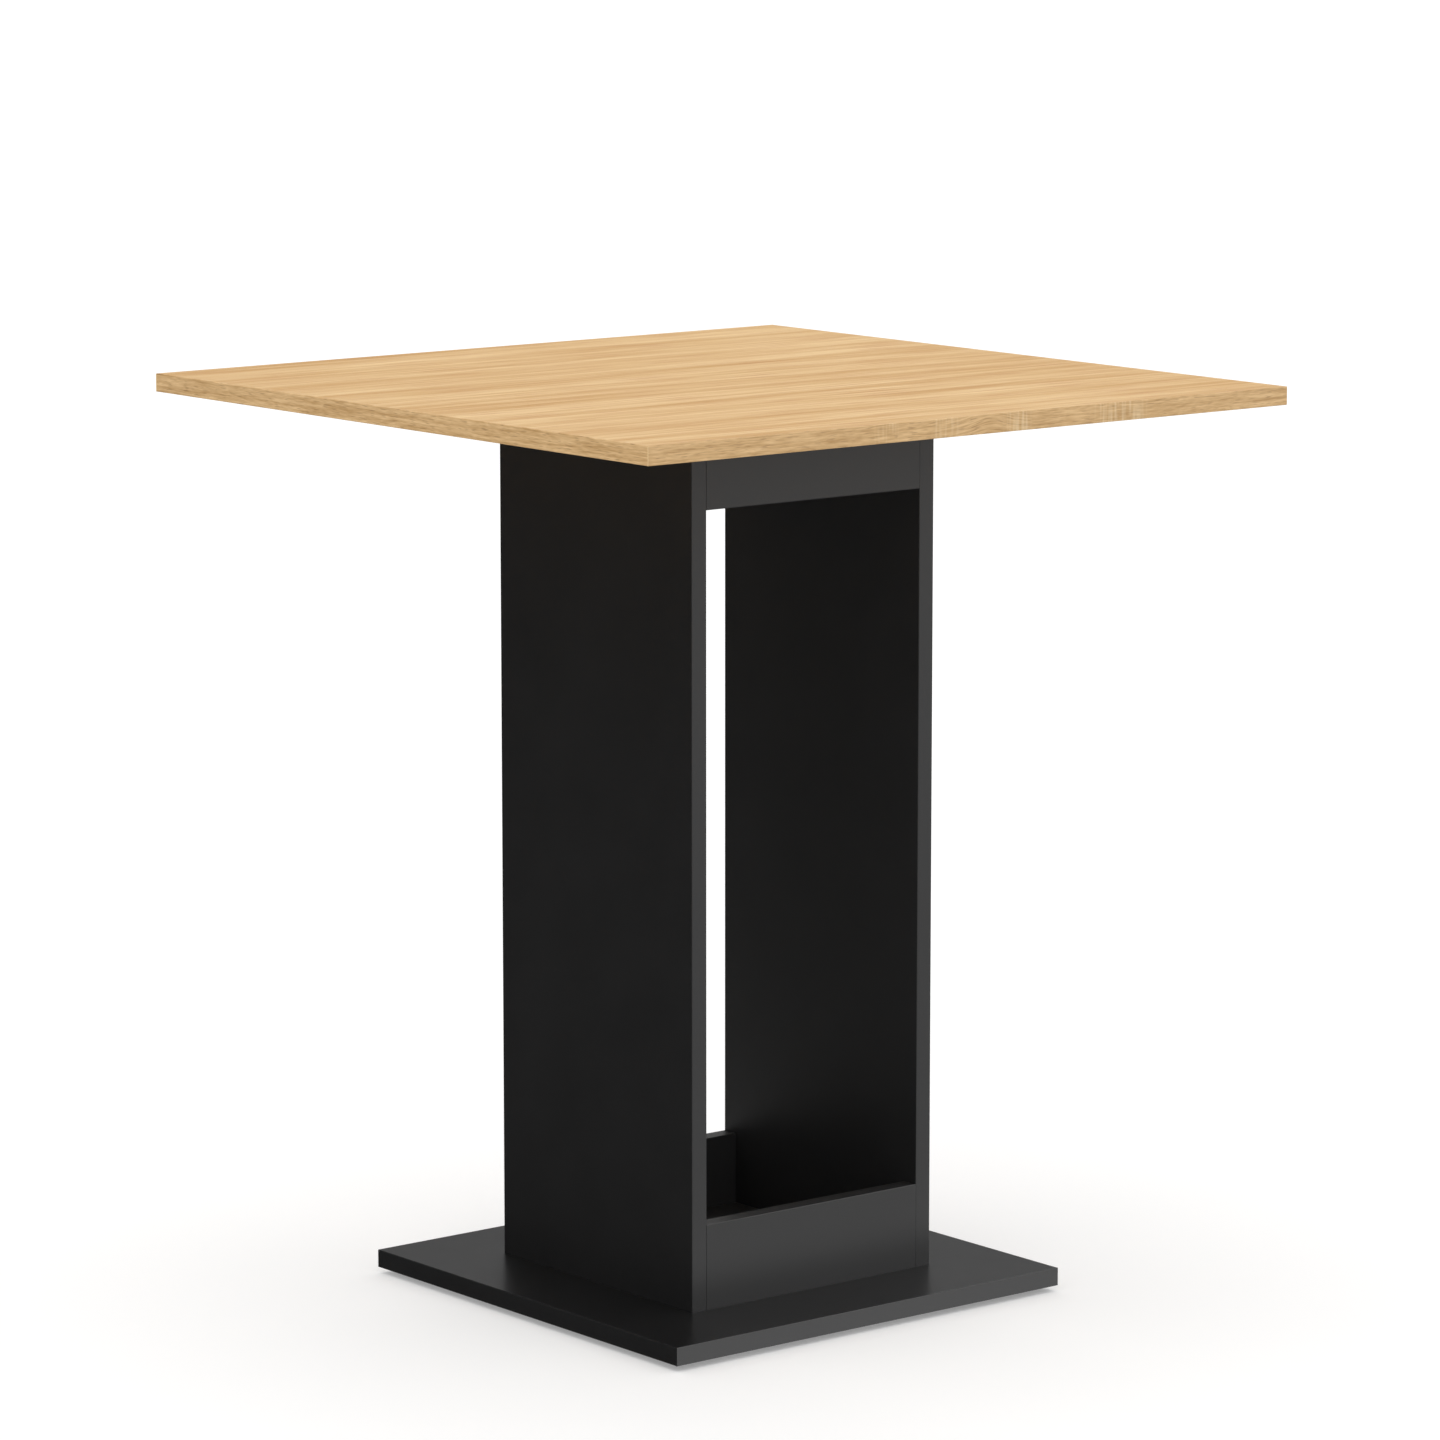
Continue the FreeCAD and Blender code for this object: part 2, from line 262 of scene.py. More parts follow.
@dataclass(frozen=True)
class OakDecor(Finish):
    """Oak decor printed on melamine paper or plastic edge band, under a satin coat with pressed pores.

    The eye sees straight streaks of honey and tan and short brown flecks along them. An edge band may
    also show an arch of the grain, and pale strokes across it where the print keeps the marks of a saw.
    """

    grain: Axis
    pale: str = "#F2CE95"
    tan: str = "#CE9D57"
    brown: str = "#B97030"
    cream: str = "#F3DCB2"
    core: str | None = None  # of a band that is dyed through, seen at its cut ends, where this pale colour is also a painted highlight along the corner
    # the last layer is drawn coarser than the print's finest lines, which are too fine to show
    layers: tuple[Streaks, ...] = (
        Streaks((900.0, 34.0), 0.9),
        Streaks((350.0, 15.0), 1.1),
        Streaks((160.0, 6.0), 0.8),
        Streaks((90.0, 2.4), 0.7),
    )
    swing: float = 0.43  # of the layers' sum about its middle, which takes the colour from pale to tan
    sway_mm: float = 8.0
    sway_size_mm: tuple[float, float, float] = (420.0, 90.0, 90.0)
    flecks: Dashes = Dashes((80.0, 3.2), (0.52, 0.74), 0.5)
    pores: Dashes = Dashes((14.0, 0.8), (0.62, 0.70), 0.25)  # drawn wider than the real 0.3 mm, to show
    pore_depth_mm: float = 0.03
    arch_mm: tuple[float, float, float] | None = None  # its place along the grain, half width and height
    saw_marks: Dashes = Dashes((2.6, 25.0), (0.45, 0.75), 0.38)
    saw_patches_mm: tuple[tuple[float, float], ...] = ()  # the middle and half width of each
    end_facing: float = 0.8  # the part of a normal along the grain that makes its face a cut end
    roughness: float = 0.46
    roughness_change: float = 0.05

    def paint(self, tree: Tree, shader: Shader) -> None:
        """Adds the streaks, the flecks, the pores and what an edge band has besides.

        The layers of noise, each times its weight, add up to the streaks. Every other mark is laid over
        them in its own colour, and the finest layer changes the gloss.

        Args:
            tree: the material's node tree.
            shader: the inputs of its principled shader.
        """
        place = add(tree, "TexCoord").outputs["Object"]
        grain = add(tree, "Mapping", {"Vector": place, "Rotation": (0, 0, self.turn())}).outputs["Vector"]
        flow = self.flow(tree, grain)
        noises = [self.noise(tree, flow, layer.size_mm) for layer in self.layers]
        total: Socket | float = 0.0
        for noise, layer in zip(noises, self.layers):
            weighted = {0: noise, 1: layer.weight, 2: total}
            total = add(tree, "Math", weighted, operation="MULTIPLY_ADD").outputs[0]
        middle = sum(layer.weight for layer in self.layers) / 2
        spread = {"Value": total, "From Min": middle - self.swing, "From Max": middle + self.swing}
        streaks = add(tree, "MapRange", spread).outputs["Result"]
        flecks = self.dashes(tree, flow, self.flecks)
        pores = self.dashes(tree, flow, self.pores)
        marks = [(streaks, self.tan), (flecks, self.brown), (pores, self.brown)]
        if self.saw_patches_mm:
            marks.append((self.saw_strokes(tree, grain), self.cream))
        # a cut end takes the core colour, which also serves as a painted highlight along the corner
        if self.core:
            marks.append((self.cut_end(tree), self.core))
        tint: Socket | Colour = linear(self.pale)
        for share, colour in marks:
            over = {SHARE: share, LOW: tint, HIGH: linear(colour)}
            tint = add(tree, "Mix", over, data_type="RGBA").outputs[MIXED]
        tree.links.new(tint, shader["Base Color"])
        gloss = {
            "Value": noises[-1],
            "To Min": self.roughness - self.roughness_change,
            "To Max": self.roughness + self.roughness_change,
        }
        tree.links.new(add(tree, "MapRange", gloss).outputs["Result"], shader["Roughness"])
        pressed = {"Height": pores, "Distance": -self.pore_depth_mm / self.pores.strength * MM}
        tree.links.new(add(tree, "Bump", pressed).outputs["Normal"], shader["Normal"])

    def turn(self) -> float:
        """The angle about Z that brings the grain to X."""
        return math.radians(-90.0) if self.grain is Axis.Y else 0.0

    def flow(self, tree: Tree, grain: Socket) -> Socket:
        """Coordinates that follow the grain.

        Across the grain the place is y + z, which changes over a board's face and over a band's face
        alike, with a slow sway. Where there is an arch, height * exp(-((x - place) / half width)^2) is
        taken from it, so that the lines rise there.

        Args:
            tree: the material's node tree.
            grain: coordinates with X along the grain.

        Returns:
            X along the grain and Y across it.
        """
        along = add(tree, "SeparateXYZ", {"Vector": grain}).outputs["X"]
        drawn = {"Vector": grain, "Scale": per_metre(*self.sway_size_mm)}
        slow = add(tree, "Mapping", drawn).outputs["Vector"]
        sway = add(tree, "TexNoise", {"Vector": slow, "Scale": 1.0, "Detail": 2.0}).outputs["Fac"]
        across = add(tree, "VectorMath", {0: grain, 1: (0, 1, 1)}, operation="DOT_PRODUCT").outputs["Value"]
        bent = {0: sway, 1: self.sway_mm * MM, 2: across}
        across = add(tree, "Math", bent, operation="MULTIPLY_ADD").outputs[0]
        if self.arch_mm:
            place, half_width, height = (size * MM for size in self.arch_mm)
            shifted = {0: along, 1: 1 / half_width, 2: -place / half_width}
            reach = add(tree, "Math", shifted, operation="MULTIPLY_ADD").outputs[0]
            square = add(tree, "Math", {0: reach, 1: reach}, operation="MULTIPLY").outputs[0]
            bell = add(tree, "Math", {0: math.exp(-1), 1: square}, operation="POWER").outputs[0]
            raised = {0: bell, 1: -height, 2: across}
            across = add(tree, "Math", raised, operation="MULTIPLY_ADD").outputs[0]
        return add(tree, "CombineXYZ", {"X": along, "Y": across}).outputs["Vector"]

    def noise(self, tree: Tree, flow: Socket, size_mm: tuple[float, float]) -> Socket:
        """Noise drawn out along the grain.

        Args:
            tree: the material's node tree.
            flow: coordinates that follow the grain.
            size_mm: the size of a streak along the grain and across it.

        Returns:
            The noise as a number about 0.5.
        """
        drawn = {"Vector": flow, "Scale": (*per_metre(*size_mm), 1.0)}
        long = add(tree, "Mapping", drawn).outputs["Vector"]
        return add(tree, "TexNoise", {"Vector": long, "Scale": 1.0, "Detail": 1.0}).outputs["Fac"]

    def dashes(self, tree: Tree, flow: Socket, marks: Dashes) -> Socket:
        """Short marks along the grain: the noise over its span, times the marks' strength.

        Args:
            tree: the material's node tree.
            flow: coordinates that follow the grain.
            marks: the marks' size, span and strength.

        Returns:
            The marks' share of the colour.
        """
        low, high = marks.span
        shown = {
            "Value": self.noise(tree, flow, marks.size_mm),
            "From Min": low,
            "From Max": high,
            "To Max": marks.strength,
        }
        return add(tree, "MapRange", shown).outputs["Result"]

    def saw_strokes(self, tree: Tree, grain: Socket) -> Socket:
        """Pale strokes across the grain, which fade over the outer half of each of their patches.

        Args:
            tree: the material's node tree.
            grain: coordinates with X along the grain.

        Returns:
            The strokes' share of the colour.
        """
        along_mm, across_mm = self.saw_marks.size_mm
        drawn = {"Vector": grain, "Scale": per_metre(along_mm, across_mm, across_mm)}
        wide = add(tree, "Mapping", drawn).outputs["Vector"]
        noise = add(tree, "TexNoise", {"Vector": wide, "Scale": 1.0, "Detail": 0.0}).outputs["Fac"]
        low, high = self.saw_marks.span
        spread = {"Value": noise, "From Min": low, "From Max": high}
        strokes = add(tree, "MapRange", spread).outputs["Result"]
        along = add(tree, "SeparateXYZ", {"Vector": grain}).outputs["X"]
        patches: Socket | float = 0.0
        for middle_mm, half_mm in self.saw_patches_mm:
            offset = add(tree, "Math", {0: along, 1: middle_mm * MM}, operation="SUBTRACT").outputs[0]
            shown = {
                "Value": add(tree, "Math", {0: offset}, operation="ABSOLUTE").outputs[0],
                "From Min": half_mm * MM,
                "From Max": half_mm / 2 * MM,
                "To Max": self.saw_marks.strength,
            }
            patch = add(tree, "MapRange", shown).outputs["Result"]
            patches = add(tree, "Math", {0: patch, 1: patches}, operation="MAXIMUM").outputs[0]
        return add(tree, "Math", {0: strokes, 1: patches}, operation="MULTIPLY").outputs[0]

    def cut_end(self, tree: Tree) -> Socket:
        """Finds the faces across the grain, where the band was cut off.

        Args:
            tree: the material's node tree.

        Returns:
            1 on a cut end, and 0 on the printed faces.
        """
        normal = add(tree, "NewGeometry").outputs["True Normal"]
        part = add(tree, "SeparateXYZ", {"Vector": normal}).outputs[self.grain.value]
        size = add(tree, "Math", {0: part}, operation="ABSOLUTE").outputs[0]
        return add(tree, "Math", {0: size, 1: self.end_facing}, operation="GREATER_THAN").outputs[0]


@dataclass(frozen=True)
class BlackCoat(Finish):
    """Black melamine paper or plastic, pressed or moulded with a fine pearl texture.

    The eye sees a deep black under a wide haze, and in a thin resin coat the blurred mirror image of what
    stands on it, with a faint, even grit.
    """

    deep: str = "#19191A"
    light: str = "#202021"
    pearl_mm: float = 1.4  # drawn coarser than the real 0.4 mm, which is too fine to show
    pearl_height_mm: float = 0.004
    cloud_mm: float = 55.0
    roughness: float = 0.6
    roughness_change: float = 0.03
    coat: float = 0.5
    coat_roughness: float = 0.3

    def paint(self, tree: Tree, shader: Shader) -> None:
        """Adds the pearl texture and slow, slight changes in colour and gloss.

        Args:
            tree: the material's node tree.
            shader: the inputs of its principled shader.
        """
        place = add(tree, "TexCoord").outputs["Object"]
        pearl_scale, cloud_scale = per_metre(self.pearl_mm, self.cloud_mm)
        pearl = add(tree, "TexNoise", {"Vector": place, "Scale": pearl_scale, "Detail": 1.0}).outputs["Fac"]
        cloud = add(tree, "TexNoise", {"Vector": place, "Scale": cloud_scale, "Detail": 3.0}).outputs["Fac"]
        tint = {SHARE: cloud, LOW: linear(self.deep), HIGH: linear(self.light)}
        tree.links.new(add(tree, "Mix", tint, data_type="RGBA").outputs[MIXED], shader["Base Color"])
        gloss = {
            "Value": cloud,
            "To Min": self.roughness - self.roughness_change,
            "To Max": self.roughness + self.roughness_change,
        }
        tree.links.new(add(tree, "MapRange", gloss).outputs["Result"], shader["Roughness"])
        raised = {"Height": pearl, "Distance": self.pearl_height_mm * MM}
        pressed = add(tree, "Bump", raised).outputs["Normal"]
        tree.links.new(pressed, shader["Normal"])
        tree.links.new(pressed, shader["Coat Normal"])
        shader["Coat Weight"].default_value = self.coat
        shader["Coat Roughness"].default_value = self.coat_roughness


@dataclass(frozen=True)
class BirchPlywood(Finish):
    """Raw birch plywood, sawn.

    The eye sees pale veneers, every other one turned so that its darker end grain shows, and a dry, fine
    fibre.
    """

    layered: Axis
    outer: float  # the layered axis's largest coordinate, where the outermost veneer ends
    veneer_mm: float = 4.0 / 3.0
    fibre_mm: float = 1.5
    fibre_height_mm: float = 0.03
    face: str = "#DDC39A"
    end: str = "#B8935F"
    roughness: float = 0.75

    def paint(self, tree: Tree, shader: Shader) -> None:
        """Adds the veneers, counted from the outside, and the fibre.

        Args:
            tree: the material's node tree.
            shader: the inputs of its principled shader.
        """
        place = add(tree, "TexCoord").outputs["Object"]
        through = add(tree, "SeparateXYZ", {"Vector": place}).outputs[self.layered.value]
        inward = add(tree, "Math", {0: through}, operation="ABSOLUTE").outputs[0]
        depth = add(tree, "Math", {0: self.outer, 1: inward}, operation="SUBTRACT").outputs[0]
        veneer_scale, fibre_scale = per_metre(self.veneer_mm, self.fibre_mm)
        count = add(tree, "Math", {0: depth, 1: veneer_scale}, operation="MULTIPLY").outputs[0]
        layer = add(tree, "Math", {0: count, 1: 1.0}, operation="PINGPONG").outputs[0]
        fibre = add(tree, "TexNoise", {"Vector": place, "Scale": fibre_scale, "Detail": 3.0}).outputs["Fac"]
        share = add(tree, "Math", {0: layer, 1: fibre}, operation="MULTIPLY").outputs[0]
        tint = {SHARE: share, LOW: linear(self.face), HIGH: linear(self.end)}
        tree.links.new(add(tree, "Mix", tint, data_type="RGBA").outputs[MIXED], shader["Base Color"])
        shader["Roughness"].default_value = self.roughness
        raised = {"Height": fibre, "Distance": self.fibre_height_mm * MM}
        tree.links.new(add(tree, "Bump", raised).outputs["Normal"], shader["Normal"])


@dataclass(frozen=True)
class BareMetal(Finish):
    """Plated steel or die-cast zinc.

    The eye sees a metal mirror, blurred by a fine grit and by cloudy plating.
    """

    bright: str
    dull: str
    roughness: float
    grit_mm: float  # drawn coarser than the real grit, which is too fine to show
    grit_height_mm: float
    cloud_mm: float = 4.0
    roughness_change: float = 0.08

    def paint(self, tree: Tree, shader: Shader) -> None:
        """Adds the grit and the clouds.

        Args:
            tree: the material's node tree.
            shader: the inputs of its principled shader.
        """
        place = add(tree, "TexCoord").outputs["Object"]
        grit_scale, cloud_scale = per_metre(self.grit_mm, self.cloud_mm)
        grit = add(tree, "TexNoise", {"Vector": place, "Scale": grit_scale, "Detail": 2.0}).outputs["Fac"]
        cloud = add(tree, "TexNoise", {"Vector": place, "Scale": cloud_scale, "Detail": 3.0}).outputs["Fac"]
        tint = {SHARE: cloud, LOW: linear(self.bright), HIGH: linear(self.dull)}
        tree.links.new(add(tree, "Mix", tint, data_type="RGBA").outputs[MIXED], shader["Base Color"])
        shader["Metallic"].default_value = 1.0
        gloss = {
            "Value": cloud,
            "To Min": self.roughness - self.roughness_change,
            "To Max": self.roughness + self.roughness_change,
        }
        tree.links.new(add(tree, "MapRange", gloss).outputs["Result"], shader["Roughness"])
        raised = {"Height": grit, "Distance": self.grit_height_mm * MM}
        tree.links.new(add(tree, "Bump", raised).outputs["Normal"], shader["Normal"])


@dataclass(frozen=True)
class StudioPaper(Finish):
    """Seamless studio paper.

    The eye sees a matt, pale floor. It is lifted to white for the camera, mirrors and glass, and from
    below it is clear.
    """

    pale: str = "#DFDFDF"
    paler: str = "#E3E3E3"
    fibre_mm: float = 3.0  # drawn coarser than real paper fibre, which is too fine to show
    lift: float = 0.26

    def paint(self, tree: Tree, shader: Shader) -> None:
        """Adds the lift to a matt surface of fine fibres.

        Args:
            tree: the material's node tree.
            shader: the inputs of its principled shader.
        """
        place = add(tree, "TexCoord").outputs["Object"]
        (fibre_scale,) = per_metre(self.fibre_mm)
        fibre = add(tree, "TexNoise", {"Vector": place, "Scale": fibre_scale}).outputs["Fac"]
        tint = {SHARE: fibre, LOW: linear(self.pale), HIGH: linear(self.paler)}
        tree.links.new(add(tree, "Mix", tint, data_type="RGBA").outputs[MIXED], shader["Base Color"])
        shader["Roughness"].default_value = 1.0
        shader["Specular IOR Level"].default_value = 0.0
        shader["Emission Color"].default_value = linear(WHITE)
        lift = add(tree, "Math", {0: seen_directly(tree), 1: self.lift}, operation="MULTIPLY").outputs[0]
        tree.links.new(lift, shader["Emission Strength"])
        below = add(tree, "NewGeometry").outputs["Backfacing"]
        above = add(tree, "Math", {0: 1.0, 1: below}, operation="SUBTRACT").outputs[0]
        tree.links.new(above, shader["Alpha"])


@dataclass(frozen=True)
class CardFace(Finish):
    """Matt felt on a studio card, or lit cloth, which is black because its glow is all that it gives."""

    colour: str = BLACK
    glow: float = 0.0

    def paint(self, tree: Tree, shader: Shader) -> None:
        """Sets a plain matt surface.

        Args:
            tree: the material's node tree, which gets no more nodes.
            shader: the inputs of its principled shader.
        """
        shader["Base Color"].default_value = linear(self.colour)
        shader["Roughness"].default_value = 1.0
        shader["Specular IOR Level"].default_value = 0.0
        shader["Emission Color"].default_value = linear(WHITE)
        shader["Emission Strength"].default_value = self.glow


def seen_directly(tree: Tree) -> Socket:
    """Tells rays that show a surface from rays of stray light.

    Args:
        tree: the node tree of a material or of the world.

    Returns:
        1 for a ray from the camera, from a mirror or through glass, and 0 for stray light.
    """
    path = add(tree, "LightPath").outputs
    plain = {0: path["Is Camera Ray"], 1: path["Is Glossy Ray"]}
    mirrored = add(tree, "Math", plain, operation="MAXIMUM").outputs[0]
    glass = {0: mirrored, 1: path["Is Transmission Ray"]}
    return add(tree, "Math", glass, operation="MAXIMUM").outputs[0]


# Sub-assemblies


def dress(finish: Finish, *names: str) -> None:
    """Gives CAD nodes a finish and reports them.

    Args:
        finish: the finish.
        names: the nodes.
    """
    for name in names:
        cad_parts[name].material_slots[0].material = finish.material()
        log.info("%s: CAD node in %s", name, finish.name)


def fit(piece: bpy.types.Object, finish: Finish, node: str) -> None:
    """Finishes a new piece, lets it ride on the table and stand for a CAD node, and reports it.

    Args:
        piece: the new piece.
        finish: its finish.
        node: the CAD node that it replaces.
    """
    piece.data.materials.append(finish.material())
    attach(piece, BODY)
    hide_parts(node)
    log.info("%s: %d faces in %s", piece.name, len(piece.data.polygons), finish.name)


def node_reach(node: str) -> tuple[Points, Points]:
    """How near to the middle of the table a CAD node comes, and how far from it.

    Args:
        node: the node, a group of four pieces that lie alike on both sides of x = 0 and of y = 0.

    Returns:
        The least and the greatest |x|, |y| and |z| of its points.
    """
    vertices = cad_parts[node].data.vertices
    flat = np.empty(3 * len(vertices), dtype=np.float32)
    vertices.foreach_get("co", flat)
    reach = np.abs(flat.reshape(-1, 3).astype(np.float64))
    return reach.min(axis=0), reach.max(axis=0)


def corner_seats(node: str, height: float) -> Points:
    """The four places of a symmetric group of small pieces.

    Args:
        node: the group's CAD node.
        height: z of the places.

    Returns:
        The middles of the four pieces at that height.
    """
    near, far = node_reach(node)
    x, y, _ = (near + far) / 2
    signs = np.array([(-1, -1), (-1, 1), (1, -1), (1, 1)])
    return np.column_stack([signs * (x, y), np.full(len(signs), height)])


@dataclass(frozen=True)
class TopAssembly:
    """The oak-decor top with its four edge bands, whose grain runs along them."""

    board: OakDecor = OakDecor("oak_decor_melamine_board", Axis.X)
    # at the front and back, with the arch and the saw marks, and with its cut ends at the corners in a pale
    # core colour that is partly the band's own and partly a painted highlight along each corner
    long_band: OakDecor = OakDecor(
        "oak_decor_edge_band_long",
        Axis.X,
        pale="#E6C08A",
        tan="#BB925A",
        brown="#A27B4C",
        # pale core: the dyed band, and a painted highlight along the corner
        core="#E9C893",
        layers=(Streaks((110.0, 4.5), 0.8), Streaks((40.0, 2.0), 1.0), Streaks((12.0, 1.0), 1.0)),
        swing=0.38,
        sway_mm=5.5,
        flecks=Dashes((13.0, 1.2), (0.6, 0.7), 0.6),
        arch_mm=(9.0, 24.0, 6.5),
        saw_patches_mm=((-95.0, 14.0), (-36.0, 15.0), (38.0, 17.0), (144.0, 34.0)),
        roughness=0.55,
    )
    # at the left and right, between the long bands, and painted lighter than them: painted light that
    # offsets the shade on the side faces
    short_band: OakDecor = replace(
        long_band,
        name="oak_decor_edge_band_short",
        grain=Axis.Y,
        # paler and lighter tan than the long band's: painted light on the side faces
        pale="#ECC690",
        tan="#C1975E",
        core=None,
        arch_mm=None,
        saw_patches_mm=(),
    )

    def build(self) -> None:
        """Dresses the board and its bands."""
        dress(self.board, "table_top")
        dress(self.long_band, "top_band_front", "top_band_back")
        dress(self.short_band, "top_band_left", "top_band_right")


@dataclass(frozen=True)
class Column:
    """The black column of side panels, rails and a floor panel, with its hidden tongues."""

    rails: tuple[str, ...] = ("front_top_rail", "back_top_rail", "front_bottom_rail", "back_bottom_rail")
    panels: tuple[str, ...] = ("left", "right")
    edges: tuple[str, ...] = ("front", "back")
    board: BlackCoat = BlackCoat("black_melamine_board")
    band: BlackCoat = BlackCoat("black_plastic_edge_band", coat_roughness=0.27)

    def build(self) -> None:
        """Dresses the boards, the bands and the tongues."""
        dress(self.board, *(f"{panel}_side_panel" for panel in self.panels), *self.rails, "floor_panel")
        dress(self.band, *(f"{panel}_panel_{edge}_band" for panel in self.panels for edge in self.edges))
        dress(self.band, *(f"{rail}_band" for rail in self.rails))
        for node, layered in (("rail_tongues", Axis.Y), ("top_tongues", Axis.X)):
            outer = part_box(node)[1][layered.value]
            dress(BirchPlywood(f"birch_plywood_layered_in_{layered.name.lower()}", layered, outer), node)


@dataclass(frozen=True)
class BasePlate:
    """The black base plate with its four edge bands."""

    # pressed smoother than the column's boards, so that its mirror image is clearer
    board: BlackCoat = BlackCoat("black_melamine_plate_pressed_smooth", roughness=0.31, coat=0.0)
    band: BlackCoat = Column.band
    sides: tuple[str, ...] = ("front", "back", "left", "right")

    def build(self) -> None:
        """Dresses the plate and its bands."""
        dress(self.board, "base_plate")
        dress(self.band, *(f"base_band_{side}" for side in self.sides))


@dataclass(frozen=True)
class Thread:
    """A screw thread: a triangular ridge that climbs one pitch a turn and runs out at both ends."""

    start: float
    end: float
    pitch: float
    height: float
    steepness: float = 3.0  # heights that a flank would rise over a whole pitch
    run_out: float = 1.5 * MM
    rings_per_turn: int = 12

    def rings(self) -> Points:
        """The places of the rings that carry the thread."""
        return np.arange(self.start, self.end, self.pitch / self.rings_per_turn)

    def ridge(self, sides: int) -> Points:
        """Height of the ridge on each ring and side.

        The phase is what is left of x / pitch - angle / (2 pi) past a whole number. The ridge is
        1 - steepness |phase - 1/2| of the height where that is above 0, and fades over the run-out.

        Args:
            sides: the number of sides of a ring.

        Returns:
            The height to add to each ring's radius at each side.
        """
        along = self.rings()[:, None]
        phase = np.mod((along - self.start) / self.pitch - np.arange(sides) / sides, 1.0)
        fade = np.clip(np.minimum(along - self.start, self.end - along) / self.run_out, 0.0, 1.0)
        return self.height * fade * np.clip(1 - self.steepness * np.abs(phase - 0.5), 0.0, 1.0)


@dataclass(frozen=True)
class CamFittings:
    """The cams let into the side panels, and the bolts that hang from the top and end in them."""

    thread_length: float = 11.0 * MM
    thread_core: float = 2.2 * MM
    thread_crest: float = 3.1 * MM
    pitch: float = 2.0 * MM
    lead_in: float = 0.8 * MM
    collar_height: float = 1.2 * MM
    shank: float = 2.5 * MM
    neck: float = 2.0 * MM
    neck_length: float = 11.0 * MM
    head: float = 3.3 * MM
    head_length: float = 2.4 * MM
    edge: float = 0.3 * MM
    sides: int = 36
    # a dull, slightly uneven grey sheen
    zinc: BareMetal = BareMetal(
        "tumbled_die_cast_zinc",
        bright="#B9BBBD",
        dull="#8F9294",
        roughness=0.42,
        grit_mm=0.6,
        grit_height_mm=0.015,
    )
    # a bright, cool mirror with a soft blur
    steel: BareMetal = BareMetal(
        "zinc_plated_steel",
        bright="#D3D6D8",
        dull="#A9AEB2",
        roughness=0.28,
        grit_mm=0.5,
        grit_height_mm=0.005,
    )

    def build(self) -> None:
        """Dresses the cams and makes the bolts."""
        dress(self.zinc, "top_cams")
        low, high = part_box("top_cam_bolts")
        seat = high.z - self.thread_length
        bolt = Shell.turned(*self.outline(seat - low.z)).upright(-1)
        bolts = bolt.at(corner_seats("top_cam_bolts", seat)).to_object("cam_bolts")
        fit(bolts, self.steel, "top_cam_bolts")

    def outline(self, reach: float) -> tuple[Points, Points]:
        """The bolt along X from its seat: thread behind it, then collar, shank, neck and conical head.

        The radius runs straight from each listed ring to the next, and over the thread it is the core's
        plus the ridge.

        Args:
            reach: the length from the seat to the end of the head.

        Returns:
            The place of each ring, and its radius at each side.
        """
        tip = -self.thread_length
        collar = -self.collar_height
        cone = reach - self.head_length
        neck = cone - self.neck_length
        thread = Thread(
            start=tip + self.lead_in,
            end=collar,
            pitch=self.pitch,
            height=self.thread_crest - self.thread_core,
        )
        plain = np.array(
            [
                (collar, self.thread_core),
                (collar, self.shank),
                (neck - self.shank + self.neck, self.shank),
                (neck, self.neck),
                (cone, self.neck),
                (reach - self.edge, self.head),
                (reach, self.head - self.edge),
            ]
        )
        along = np.concatenate([[tip], thread.rings(), plain[:, 0]])
        point = np.full((1, self.sides), self.thread_core - self.lead_in)
        rest = np.repeat(plain[:, 1:], self.sides, axis=1)
        return along, np.concatenate([point, self.thread_core + thread.ridge(self.sides), rest])


@dataclass(frozen=True)
class BaseScrews:
    """Countersunk connecting screws with a hexagon socket and a coarse thread."""

    head: float = 5.0 * MM
    shank: float = 3.5 * MM
    core: float = 2.5 * MM
    pitch: float = 3.0 * MM
    plain_length: float = 15.0 * MM
    socket_across: float = 4.0 * MM
    socket_depth: float = 2.6 * MM
    edge: float = 0.2 * MM
    point: float = 1.1 * MM
    point_length: float = 2.5 * MM
    sides: int = 48
    steel: BareMetal = CamFittings.steel

    def build(self) -> None:
        """Makes the four screws."""
        low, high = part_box("base_screws")
        screw = Shell.turned(*self.outline(high.z - low.z)).upright(1)
        screws = screw.at(corner_seats("base_screws", low.z)).to_object("connecting_screws")
        fit(screws, self.steel, "base_screws")

    def outline(self, length: float) -> tuple[Points, Points]:
        """The screw along X from its head: socket, countersunk head, plain shank, thread and point.

        The socket's radius is that of a hexagon: half the width across flats, divided by the cosine of the
        angle from the nearest flat. Over the point the thread shrinks in proportion to the length left.

        Args:
            length: the length of the screw.

        Returns:
            The place of each ring, and its radius at each side.
        """
        turn = np.arange(self.sides) / self.sides * 2 * math.pi
        hexagon = self.socket_across / 2 / np.cos(np.mod(turn, math.pi / 3) - math.pi / 6)
        plain = np.array(
            [
                (0.0, self.head - self.edge),
                (self.edge, self.head),
                (self.edge + self.head - self.shank, self.shank),
                (self.plain_length - self.shank + self.core, self.shank),
                (self.plain_length, self.core),
            ]
        )
        thread = Thread(
            start=self.plain_length + self.edge,
            end=length - self.edge,
            pitch=self.pitch,
            height=self.shank - self.core,
        )
        rings = thread.rings()
        taper = np.clip((length - rings) / self.point_length, self.point / self.core, 1.0)[:, None]
        along = np.concatenate([[self.socket_depth, self.edge, 0.0], plain[:, 0], rings, [length]])
        radius = [
            np.stack([hexagon, hexagon, hexagon + self.edge]),
            np.repeat(plain[:, 1:], self.sides, axis=1),
            (self.core + thread.ridge(self.sides)) * taper,
            np.full((1, self.sides), self.point - self.edge),
        ]
        return along, np.concatenate(radius)


